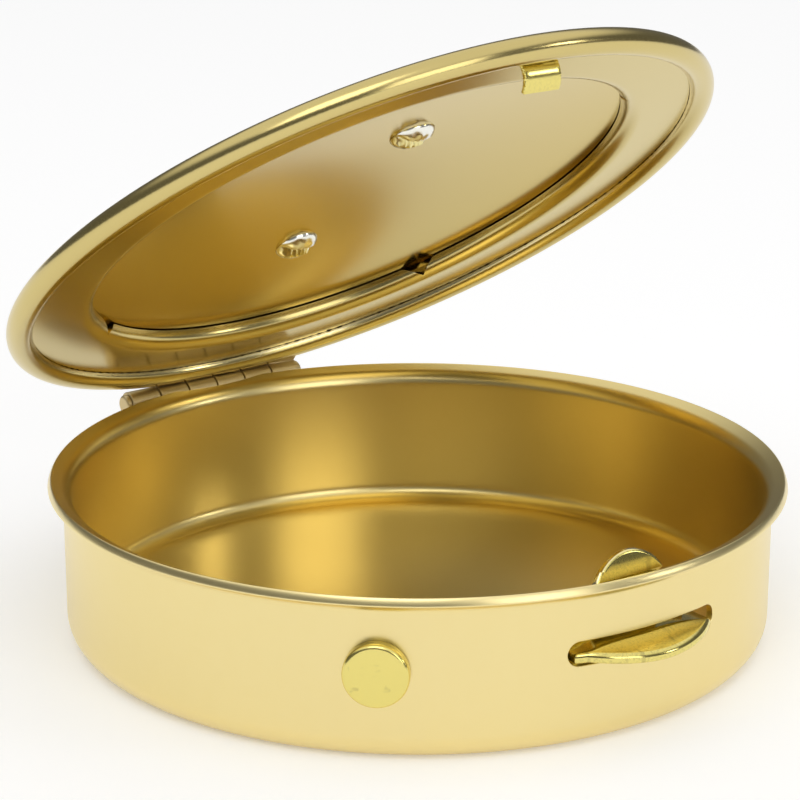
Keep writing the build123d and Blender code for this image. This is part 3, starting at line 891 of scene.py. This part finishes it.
class MakeEmblemRivets(bpy.types.Operator):
    """Two rivets: domed heads on the cross and split tails under the plate."""

    bl_idname = "pyx.make_emblem_rivets"
    bl_label = "Emblem rivets"

    shank = 0.75 * MM
    burr = 0.05 * MM
    chip = 0.04 * MM
    wear = 0.3  # share of the tail's height that is lost at its edge
    swell = 0.06  # share by which the tail's side bulges

    def execute(self, context):
        emblem, lid = context.scene.pyx_emblem, context.scene.pyx_lid
        dome = dome_of(lid)
        shell = Shell()
        for place in (emblem.stud_spacing / 2, -emblem.stud_spacing / 2):
            lean = -math.asin(place / dome["radius"])
            for points, faces, edge in self.rivet(emblem, lid, dome):
                points = turned_about(points, np.zeros(3), (1, 0, 0), lean) + (0, 0, dome["z"])
                shell.add(opened(points), faces, edge)
        piece = shell.piece("cross_rivets", finish("tail_brass"), "bright_brass")
        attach(piece, "lid")
        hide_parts("emblem_rivets")
        return {"FINISHED"}

    def rivet(self, emblem, lid, dome):
        """One rivet on the Z axis, measured from the sphere's centre: a lathed head and shank, then a tail
        that narrows to its end. Lines across the end follow the split, a V whose depth falls off with the
        distance from X; the tail's side joins the end's outline to the plate, and its edge is burred."""
        out = dome["radius"] + lid.plate_sheet + emblem.sheet + 2 * SEAT
        inside = dome["radius"] - SEAT
        head, rise = emblem.head_radius, emblem.head_height
        ball = (head ** 2 + rise ** 2) / (2 * rise)
        cap = np.linspace(0, math.asin(head / ball), 10)
        shank = self.shank
        section = joined(
            np.column_stack([ball * np.sin(cap), out + rise - ball + ball * np.cos(cap)]),
            line((head, out), (shank, out), 4),
            line((shank, out), (shank, inside), 6),
            line((shank, inside), (0, inside), 4),
        )
        turned = revolved(section, round_angles(40))
        yield turned, grid_faces(*turned.shape[:2], wrap_columns=True), 0.0
        half, spread = emblem.split_width / 2, emblem.tail_spread
        tip = math.acos(half / spread)
        y = np.concatenate([
            -spread * np.cos(np.linspace(0, tip, 12)), line(-half, half, 13)[1:-1],
            spread * np.cos(np.linspace(tip, 0, 12)),
        ])[:, None]
        x = np.linspace(-1, 1, 25) * np.sqrt(np.maximum(spread ** 2 - y ** 2, 0))
        wide = np.broadcast_to(y, x.shape)
        far = np.hypot(x, wide) / spread
        split = emblem.split_depth * np.maximum(1 - np.abs(y) / half, 0)
        burrs = self.burr * ripple(np.arctan2(wide, x).ravel(), 5, 16, 8).reshape(x.shape) * far ** 6
        chips = self.chip * ripple(x.ravel() / spread * 2, 3, 14, 9).reshape(x.shape) * (np.abs(y) < half)
        worn = self.wear * emblem.tail_height * far ** 3
        end = np.stack([x, wide, inside - emblem.tail_height + split + burrs + chips + worn], -1)
        # Cut white metal covers the tail's side and the split's -Y slope; the +Y slope keeps only 0.2 of it,
        # a painted shade where that slope lies in shadow.
        yield end, grid_faces(*end.shape[:2]), np.broadcast_to(np.where(y < 0, 1.0, 0.2), x.shape)
        loop = np.concatenate([end[:, -1], end[-2:0:-1, 0]])
        root = np.column_stack([loop[:, :2] * emblem.tail_root / spread, np.full(len(loop), inside)])
        rise = np.linspace(0, 1, 8)[:, None, None]
        side = loop + (root - loop) * rise
        side[..., :2] *= 1 + self.swell * np.sin(math.pi * rise)
        yield side, grid_faces(*side.shape[:2], wrap_columns=True), 1.0
        yield root, [list(range(len(root)))], 0.0


class MakeCatch(bpy.types.Operator):
    """Curled strip under the lid that the latch's tongue holds."""

    bl_idname = "pyx.make_catch"
    bl_label = "Catch"

    bar_round = 0.09 * MM
    waver = 0.024  # share of the strip's half width

    def execute(self, context):
        latch, lid = context.scene.pyx_latch, context.scene.pyx_lid
        shell = Shell()
        capped_tube(shell, opened(aligned(self.strip(latch, lid))))
        piece = shell.piece("catch", finish("catch_brass"), "bright_brass")
        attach(piece, "lid")
        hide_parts("lid_catch")
        return {"FINISHED"}

    def strip(self, latch, lid):
        """A rounded bar carried along part of a circle, from the band down past the circle's back and in to
        the free end. The sheared sides waver along the strip."""
        radius = latch.catch_radius - latch.catch_sheet / 2
        middle = (latch.catch_radius - latch.catch_back, lid.level - SEAT - latch.catch_drop)
        start = 180 - math.degrees(math.asin(latch.catch_drop / latch.catch_radius))
        path = arc(middle, radius, start, 180 + math.degrees(latch.catch_turn), 61)
        ahead, still = headings(path), np.zeros(len(path))
        out = np.column_stack([still, ahead[:, 1], -ahead[:, 0]])
        bar = rounded_bar(latch.catch_width, latch.catch_sheet, self.bar_round, side=11)
        rings = carried(bar, np.column_stack([still, path]), (1.0, 0.0, 0.0), out)
        right, left = [ripple(round_angles(len(path)), 6, 24, seed)[:, None] for seed in (3, 4)]
        rings[..., 0] *= 1 + self.waver * np.where(bar[:, 0] > 0, right, left)
        return rings


class MakeLatch(bpy.types.Operator):
    """Latch spring riveted inside the wall, with its plate, push tab and hooked tongue."""

    bl_idname = "pyx.make_latch"
    bl_label = "Latch"

    bar_round = 0.1 * MM
    tab_round = 0.28 * MM
    inset = 0.06 * MM
    crown_share = 0.6  # rise of the tongue's round top, as a share of its half width

    def execute(self, context):
        latch = context.scene.pyx_latch
        spring = Shell()
        capped_tube(spring, aligned(self.strip(latch)))
        leaf = spring.piece("latch_spring", finish("latch_brass"), "bright_brass")
        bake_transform(leaf)
        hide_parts("latch_foot")
        plate = Shell()
        capped_tube(plate, aligned(self.plate(latch)))
        for points, faces, edge in (self.tongue(latch), self.tab(latch)):
            plate.add(aligned(points), faces, edge)
        hook = plate.piece("latch_plate", finish("latch_brass"), "bright_brass", sharp=50)
        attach(hook, "latch")
        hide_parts("latch_arm")
        return {"FINISHED"}

    def strip(self, latch):
        """An upright rounded bar carried along the plan of the spring: an arc against the wall, then a wider
        arc that leaves it and meets the latch plate square."""
        foot = math.degrees(latch.rivet_angle - latch.foot_reach)
        bend = math.degrees(latch.rivet_angle + latch.bend_lead)
        wall = arc((0, 0), latch.ring, foot, bend, 24)
        plate_y = -latch.plate_face + latch.sheet / 2
        x, y = wall[-1]
        wide, deep = -latch.plate_half - x, y - plate_y
        sweep = (wide ** 2 + deep ** 2) / (2 * deep)
        centre = (-latch.plate_half, plate_y + sweep)
        start = math.degrees(math.atan2(y - centre[1], x - centre[0]))
        path = joined(wall, arc(centre, sweep, start, -90, 30))
        ahead = headings(path)
        out = np.column_stack([ahead[:, 1], -ahead[:, 0], np.zeros(len(path))])
        place = np.column_stack([path, np.full(len(path), latch.height)])
        return carried(rounded_bar(latch.width, latch.sheet, self.bar_round), place, UP, out)

    def plate(self, latch):
        """An upright rounded bar carried along X."""
        place = np.zeros((5, 3))
        place[:, 0] = np.linspace(-latch.plate_half, latch.plate_half, 5)
        place[:, 1:] = latch.sheet / 2 - latch.plate_face, latch.height
        return carried(rounded_bar(latch.width, latch.sheet, self.bar_round), place, UP, (0.0, -1.0, 0.0))

    def softened(self, depth, soft):
        """How far a face sinks at a depth inside its outline, along a quarter circle as wide as the
        rounding."""
        near = np.clip(soft - depth, 0, soft)
        return soft - np.sqrt(soft ** 2 - near ** 2)

    def tongue(self, latch):
        """Front and back of the tongue as grids of height by width. The sheet, set in below the plate's top,
        comes out of the plate and leans back, with a small step under its ridge. The outline is straight
        below and part of a circle above, and both faces are rounded towards it."""
        top, half, face, sheet = latch.tongue_top, latch.tongue_width / 2, -latch.plate_face, latch.sheet
        ridge, out, lean = top - latch.ridge_drop, face - latch.ridge_reach, math.tan(latch.tongue_lean)
        ledge, low = ridge - latch.ridge_step / 3, ridge - latch.tongue_foot
        knee, step = low - sheet, out + latch.ridge_step
        low_y, tip = step - (ledge - low) * lean, out + latch.ridge_drop * lean
        brow, inset = latch.height + latch.width / 2, self.inset
        crown = self.crown_share * half
        radius = (half ** 2 + crown ** 2) / (2 * crown)
        swing = np.linspace(math.asin(half / radius), 0, 44)
        rows = np.sort(np.concatenate([
            line(latch.height, brow - inset, 3), line(brow, knee - sheet / 2, 4), line(knee, low, 6),
            line(low, ledge, 8)[1:], line(ledge, ridge, 6)[1:], top - radius + radius * np.cos(swing),
        ]))
        rows = rows[np.append(True, np.diff(rows) > MERGE)]
        chord = np.sqrt(np.maximum(radius ** 2 - (rows - top + radius) ** 2, 0))
        width = np.where(rows > top - crown, chord, half)
        x = np.sin(np.linspace(-math.pi / 2, math.pi / 2, 61)) * width[:, None]
        z = np.repeat(rows[:, None], x.shape[1], 1)
        depth = np.where(z > top - crown, radius - np.hypot(x, z - top + radius), half - np.abs(x))
        sink = self.softened(np.clip(depth, 0, half - np.abs(x)), latch.tongue_soft)
        front = np.interp(rows, [knee, low, ledge, ridge, top], [face, low_y, step, out, tip])
        back = np.interp(rows, [knee - sheet / 2, low, top], [face + sheet, low_y + 1.2 * sheet, tip + sheet])
        front, back = front + inset * (rows < brow), back - inset * (rows < brow)
        grids = [np.stack([x, front[:, None] + sink, z], -1), np.stack([x, back[:, None] - sink, z], -1)]
        edge = np.repeat((sink > 0.3 * latch.tongue_soft)[None], 2, 0) * 0.8
        return np.stack(grids), whole_sheet(*x.shape), edge

    def tab(self, latch):
        """Upper and lower faces of the push tab: lines from the plate out to the circle of its edge, level
        inside the wall and sloping down outside it, drooping towards both ends with the cube of the distance
        from the middle, both faces rounded towards the edge and the sides."""
        middle, half = (latch.tab_right - latch.tab_left) / 2, (latch.tab_right + latch.tab_left) / 2
        x = middle + half * np.sin(np.linspace(-math.pi / 2, math.pi / 2, 81))
        wall = bpy.context.scene.pyx_pan.wall_radius
        centre = -(wall + latch.tab_proud - latch.tab_radius)
        edge = centre - np.sqrt(latch.tab_radius ** 2 - x ** 2)
        start = -latch.plate_face + latch.sheet / 2
        run = np.sin(np.linspace(0, math.pi / 2, 28))[:, None]
        y = start + run * (edge - start)
        depth = np.minimum(x + latch.tab_left, latch.tab_right - x)
        depth = np.minimum(latch.tab_radius - np.hypot(x, y - centre), depth)
        sink = self.softened(np.maximum(depth, 0), self.tab_round)
        level = latch.height + latch.tab_lift - np.maximum(-wall - y, 0) * math.tan(latch.tab_slope)
        level = level - latch.tab_droop * (np.abs(x - middle) / half) ** 3
        grids = [
            np.stack(np.broadcast_arrays(x[None, :], y, level + side * (latch.tab_sheet / 2 - sink)), -1)
            for side in (1, -1)
        ]
        return np.stack(grids), whole_sheet(*y.shape), 0.0


class MakeLatchRivet(bpy.types.Operator):
    """Rivet that holds the latch spring to the wall."""

    bl_idname = "pyx.make_latch_rivet"
    bl_label = "Latch rivet"

    shank = 1.0 * MM
    crown = 0.05 * MM

    def execute(self, context):
        latch, pan = context.scene.pyx_latch, context.scene.pyx_pan
        grid = revolved(self.section(latch, pan), round_angles(96))
        out = np.array([math.cos(latch.rivet_angle), math.sin(latch.rivet_angle), 0.0])
        up = np.array(UP)
        placed = grid[..., :1] * np.cross(up, out) + grid[..., 1:2] * up + grid[..., 2:] * out
        placed = placed + up * latch.height
        shell = Shell()
        shell.add(aligned(placed), grid_faces(*grid.shape[:2], wrap_columns=True))
        piece = shell.piece("latch_rivet_head", finish("rivet_brass"), "bright_brass")
        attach(piece, "base")
        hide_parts("latch_rivet")
        return {"FINISHED"}

    def section(self, latch, pan):
        """Half-section along the rivet from the middle of its head to the middle of its tail: a face that is
        barely domed, a rounded edge, the head's side, the shank and a low tail with a rounded edge."""
        seat, shank = pan.wall_radius + SEAT, self.shank
        inside = math.sqrt((latch.ring - latch.sheet / 2) ** 2 - latch.tail_radius ** 2) - SEAT
        top = seat + latch.head_height
        soft, flat = latch.head_round, latch.head_radius - latch.head_round
        tail_soft = latch.tail_height / 2
        end = inside - latch.tail_height
        far = np.linspace(0, 1, 16)
        face = np.column_stack([far * flat, top - self.crown * far ** 4])
        edge = arc((flat, top - self.crown - soft), soft, 90, 0, 9)
        tail_edge = arc((latch.tail_radius - tail_soft, end + tail_soft), tail_soft, 0, -90, 8)
        return joined(
            face, edge, line((latch.head_radius, edge[-1, 1]), (latch.head_radius, seat), 5),
            line((latch.head_radius, seat), (shank, seat), 4),
            line((shank, seat), (shank, inside), 4),
            line((shank, inside), (latch.tail_radius, inside), 4),
            tail_edge, line(tail_edge[-1], (0, end), 8),
        )


class MakeHinge(bpy.types.Operator):
    """Hinge: leaf and knuckles on the wall, knuckles on the lid's rim, and the pin."""

    bl_idname = "pyx.make_hinge"
    bl_label = "Hinge"

    count = 6
    soft = 0.08 * MM
    base_sweep = (-58, 215)  # degrees of a barrel's circle
    neck_shares = (0.94, 0.7)  # top and foot of the neck on the leaf's height
    neck_clear = 0.05 * MM
    lid_sweep = (140, 400)
    heel_shares = (-0.8, 0.4)  # foot and top of the heel on the roll's radius
    rim_bite = 0.05 * MM

    def execute(self, context):
        h = context.scene.pyx_hinge
        base, lid = Shell(), Shell()
        base.add(*self.leaf(context))
        for index in range(self.count):
            start = -h.length / 2 + index * h.length / self.count + h.gap / 2
            x = np.linspace(start, start + h.length / self.count - h.gap, 9)
            if index % 2:
                capped_tube(lid, opened(self.lid_knuckle(context, x)))
            else:
                capped_tube(base, self.base_knuckle(context, x))
        pin = Shell()
        pin.add(*self.pin(h))
        made = (
            (base, "wall_hinge", "base", "base_hinge", self.soft),
            (lid, "rim_hinge", "lid", "lid_hinge", self.soft),
            (pin, "pin", "base", "hinge_pin", 0.0),
        )
        for shell, name, body, solid, soft in made:
            piece = shell.piece(name, finish("hinge_brass"), "hinge_brass", bevel=soft)
            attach(piece, body)
            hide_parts(solid)
        return {"FINISHED"}

    def leaf(self, context):
        """Outer and inner faces of the leaf, bent to the wall's radius."""
        h, wall = context.scene.pyx_hinge, context.scene.pyx_pan.wall_radius + SEAT
        pitch = h.length / self.count
        ends = -h.length / 2 + h.gap / 2, h.length / 2 - pitch - h.gap / 2
        rows = np.linspace(0, h.leaf_height, 8) + h.leaf_foot
        z, x = np.meshgrid(rows, np.linspace(*ends, 40), indexing="ij")
        faces = [np.stack([x, np.sqrt(far ** 2 - x ** 2), z], -1) for far in (wall + h.leaf_sheet, wall)]
        return np.stack(faces), whole_sheet(*x.shape)

    def base_knuckle(self, context, x):
        """A loop at each station along the hinge: most of the barrel's circle, then down a neck to the leaf,
        whose distance from the axis follows the wall's radius."""
        h, wall = context.scene.pyx_hinge, context.scene.pyx_pan.wall_radius
        barrel = arc(HINGE[1:], h.barrel_radius, *self.base_sweep, 34)
        neck_top, neck_foot = [h.leaf_foot + share * h.leaf_height for share in self.neck_shares]
        inner = np.sqrt((wall + self.neck_clear) ** 2 - x ** 2)
        outer = np.sqrt((wall + h.leaf_sheet) ** 2 - x ** 2)
        rings = np.zeros((len(x), len(barrel) + 3, 3))
        rings[..., 0] = x[:, None]
        rings[:, :-3, 1:] = barrel
        rings[:, -3:, 1] = np.column_stack([inner, inner, outer])
        rings[:, -3:, 2] = neck_top, neck_foot, neck_foot
        return rings

    def lid_knuckle(self, context, x):
        """A loop at each station along the hinge, for the closed lid: most of the barrel's circle, then up a
        heel that meets the rolled rim, whose distance from the axis follows the rim's radius."""
        h, lid = context.scene.pyx_hinge, context.scene.pyx_lid
        barrel = arc(HINGE[1:], h.barrel_radius, *self.lid_sweep, 34)
        ring, roll = lid.radius - lid.bead_radius, lid.bead_radius
        low, high = [share * roll for share in self.heel_shares]
        under, over = [
            np.sqrt((ring + math.sqrt(roll ** 2 - level ** 2)) ** 2 - x ** 2) - self.rim_bite
            for level in (low, high)
        ]
        outer = np.full(len(x), HINGE[1] + 0.4 * h.barrel_radius)
        rings = np.zeros((len(x), len(barrel) + 4, 3))
        rings[..., 0] = x[:, None]
        rings[:, :-4, 1:] = barrel
        rings[:, -4:, 1] = np.column_stack([outer, outer - 0.1 * MM, over, under])
        rings[:, -4:, 2] = lid.level - 0.3 * MM, lid.level + high, lid.level + high, lid.level + low
        return rings

    def pin(self, h):
        """Half-section of the pin along the hinge, with a low rounded head at each end, carried round it."""
        half, end, soft = h.length / 2, h.pin_end, 0.6 * h.pin_end
        head = joined(
            line((0, half + end), (h.pin_head - soft, half + end), 6),
            arc((h.pin_head - soft, half + end - soft), soft, 90, 0, 6),
            line((h.pin_head, half + end - soft), (h.pin_head, half), 3),
            line((h.pin_head, half), (h.pin_radius, half), 3),
        )
        section = joined(head, head[::-1] * (1, -1))
        grid = revolved(section, round_angles(40))
        placed = np.stack([grid[..., 2], grid[..., 0] + HINGE[1], grid[..., 1] + HINGE[2]], -1)
        return placed, grid_faces(*grid.shape[:2], wrap_columns=True)


class MakeStage(bpy.types.Operator):
    """Pale floor, soft studio light and the camera."""

    bl_idname = "pyx.make_stage"
    bl_label = "Stage"

    half = 3.0
    floor_level = -0.01 * MM
    middle = (0, 0, 0.015)  # where the lamps aim
    tent_range = (0.4, 0.7)  # heights of direction between which the tent brightens

    def execute(self, context):
        s, scene = context.scene.pyx_stage, context.scene
        self.floor(s)
        self.world(s, scene)
        self.lamp("overhead_softbox", (-0.45, -0.40, 0.68), 0.5, s.overhead)
        self.lamp("latch_softbox", (-0.03, -0.95, 0.32), 0.5, s.latch_side)
        self.lamp("low_softbox", (0.65, -0.75, 0.31), 0.16, s.catch_side)
        self.camera(s, scene)
        scene.view_settings.view_transform = "Standard"
        return {"FINISHED"}

    def floor(self, s):
        """Square floor, white to the camera and to reflections, apart from the shadow on it."""
        lines = np.linspace(-self.half, self.half, 3)
        x, y = np.meshgrid(lines, lines, indexing="ij")
        mesh = bpy.data.meshes.new("floor")
        grid = np.stack([x, y, np.full_like(x, self.floor_level)], -1)
        mesh.from_pydata(grid.reshape(-1, 3), [], grid_faces(3, 3).reshape(-1, 4)[:, ::-1].tolist())
        obj = bpy.data.objects.new("floor", mesh)
        bpy.context.scene.collection.objects.link(obj)
        material = bpy.data.materials.new("paper_floor")
        material.use_nodes = True
        tree = material.node_tree
        surface = tree.nodes["Principled BSDF"].inputs
        surface["Base Color"].default_value = (*s.floor, 1.0)
        surface["Roughness"].default_value = 0.9
        surface["Specular IOR Level"].default_value = 0.0
        surface["Emission Color"].default_value = (1, 1, 1, 1)
        rays = node(tree, "ShaderNodeLightPath").outputs
        seen = rays["Is Camera Ray"]
        for ray in ("Is Glossy Ray", "Is Transmission Ray"):
            seen = maths(tree, "MAXIMUM", seen, rays[ray])
        feed(tree, surface["Emission Strength"], maths(tree, "MULTIPLY", seen, s.paper))
        mesh.materials.append(material)
        obj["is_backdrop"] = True

    def world(self, s, scene):
        """White tent: bright overhead and dim near the horizon, by the height of each direction."""
        world = bpy.data.worlds.new("white_tent")
        world.use_nodes = True
        tree = world.node_tree
        tree.nodes.clear()
        way = node(tree, "ShaderNodeTexCoord").outputs["Generated"]
        height = node(tree, "ShaderNodeSeparateXYZ", Vector=way).outputs["Z"]
        low, high = self.tent_range
        level = node(
            tree, "ShaderNodeMapRange", {"interpolation_type": "SMOOTHSTEP"},
            Value=height, From_Min=low, From_Max=high, To_Min=s.horizon, To_Max=s.dome,
        ).outputs[0]
        white = node(tree, "ShaderNodeBackground", Color=(1, 1, 1, 1), Strength=level)
        node(tree, "ShaderNodeOutputWorld", Surface=white.outputs[0])
        scene.world = world

    def lamp(self, name, place, size, power):
        """Square softbox aimed at the object."""
        light = bpy.data.lights.new(name, "AREA")
        light.shape, light.size, light.energy = "SQUARE", size, power
        obj = bpy.data.objects.new(name, light)
        obj.location = place
        aim = Vector(self.middle) - Vector(place)
        obj.rotation_euler = aim.to_track_quat("-Z", "Y").to_euler()
        bpy.context.scene.collection.objects.link(obj)

    def camera(self, s, scene):
        """Camera at its place, looking along its aim, turned about it by the roll."""
        data = bpy.data.cameras.new("photo_camera")
        data.lens, data.sensor_width, data.sensor_fit = s.lens, 36.0, "HORIZONTAL"
        data.clip_start, data.clip_end = 0.005, 20.0
        obj = bpy.data.objects.new("photo_camera", data)
        aim = Vector(s.camera_aim).normalized()
        right = aim.cross(Vector((0, 0, 1))).normalized()
        up = right.cross(aim)
        roll = Matrix.Rotation(-s.camera_roll, 3, aim)
        right, up = roll @ right, roll @ up
        turn = Matrix((right, up, -aim)).transposed().to_4x4()
        obj.matrix_world = Matrix.Translation(Vector(s.camera_place)) @ turn
        scene.collection.objects.link(obj)
        scene.camera = obj


PIECES = (
    MakePan, MakeLidRing, MakeMedallion, MakeEmblem, MakeEmblemRivets, MakeCatch, MakeLatch, MakeLatchRivet,
    MakeHinge, MakeStage,
)


class PyxPanel(bpy.types.Panel):
    """Sizes, finishes and pieces of the pyx."""

    bl_idname = "VIEW3D_PT_pyx"
    bl_label = "Pyx"
    bl_space_type = "VIEW_3D"
    bl_region_type = "UI"
    bl_category = "Pyx"

    def draw(self, context):
        for piece in PIECES:
            self.layout.operator(piece.bl_idname)
        for name, kind in GROUPS.items():
            box = self.layout.box()
            box.label(text=kind.__doc__)
            for key in kind.__annotations__:
                box.prop(getattr(context.scene, name), key)


GROUPS = {
    "pyx_pan": PanSizes, "pyx_lid": LidSizes, "pyx_emblem": EmblemSizes, "pyx_latch": LatchSizes,
    "pyx_hinge": HingeSizes, "pyx_finish": Finishes, "pyx_stage": StageSettings,
}


def register():
    for kind in (*GROUPS.values(), *PIECES, PyxPanel):
        bpy.utils.register_class(kind)
    for name, kind in GROUPS.items():
        setattr(bpy.types.Scene, name, PointerProperty(type=kind))


def unregister():
    for name in GROUPS:
        delattr(bpy.types.Scene, name)
    for kind in reversed((*GROUPS.values(), *PIECES, PyxPanel)):
        bpy.utils.unregister_class(kind)


def main():
    register()
    for piece in PIECES:
        family, action = piece.bl_idname.split(".")
        getattr(getattr(bpy.ops, family), action)()
    boxes = {"cad": cad_box, "visual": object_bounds()}
    plain = {name: [list(corner) for corner in box] for name, box in boxes.items()}


if __name__ == "__main__":
    main()
